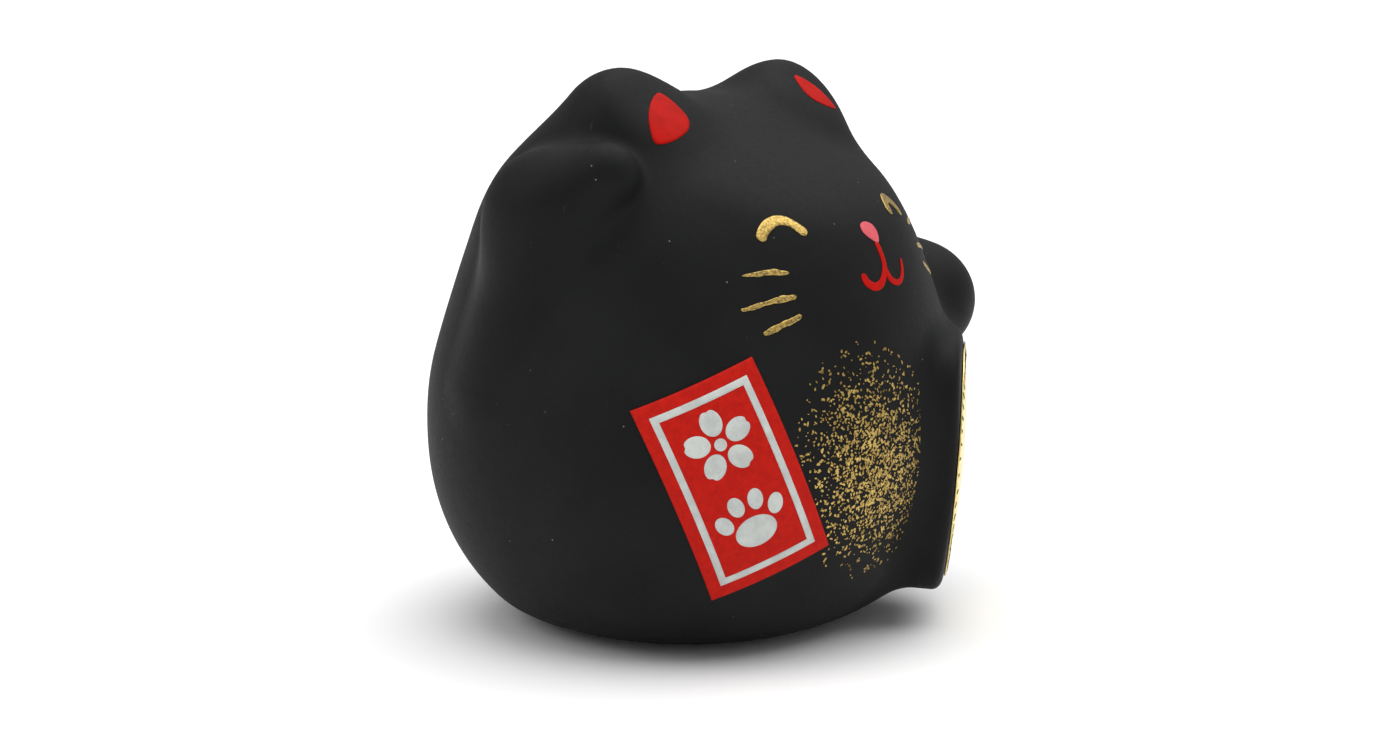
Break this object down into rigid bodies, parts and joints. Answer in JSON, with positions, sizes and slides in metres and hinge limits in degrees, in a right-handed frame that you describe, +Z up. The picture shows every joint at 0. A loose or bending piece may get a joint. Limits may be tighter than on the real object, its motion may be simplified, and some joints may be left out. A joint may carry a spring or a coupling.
{
  "type": "beckoning cat figurine",
  "caption": "Hollow matt black ceramic cat figurine with one paw raised and the other on an oval coin tablet, a red paper fortune label and a painted face, standing on a flat base.",
  "frame": {"origin": "middle of the flat base, under the upright axis of the body", "axes": "+Z up from the base; the cat looks along -Y; +X is the cat's left, where the coin tablet is"},
  "size_m": [0.0727, 0.0689, 0.0715],
  "materials": {
    "matte_black_ceramic": "matt black slip over biscuit-fired clay, a little sheen on the ridges",
    "gold_paint": "brushed gold metallic paint with fine sparkle",
    "gold_foil": "pale gold foil paper, satin metallic",
    "foil_print": "dark printed border on the foil",
    "red_paint": "flat red paint",
    "pink_paint": "flat pink paint",
    "red_paper": "red label paper, matt",
    "white_print": "white print, matt"
  },
  "bodies": {
    "root": {"body_shell": "matte_black_ceramic", "beckoning_arm": "matte_black_ceramic", "resting_arm": "matte_black_ceramic", "tail": "matte_black_ceramic", "coin_tablet": "matte_black_ceramic", "coin_foil": "gold_foil", "coin_foil_border": "foil_print", "fortune_label": "red_paper", "label_frame_print": "white_print", "label_blossom_print": "white_print", "label_paw_print": "white_print", "right_ear_paint": "red_paint", "left_ear_paint": "red_paint", "right_eye_paint": "gold_paint", "left_eye_paint": "gold_paint", "nose_paint": "pink_paint", "mouth_paint": "red_paint", "right_whisker_paint": "gold_paint", "left_whisker_paint": "gold_paint", "gold_flecks": "gold_paint"}
  },
  "joints": []
}
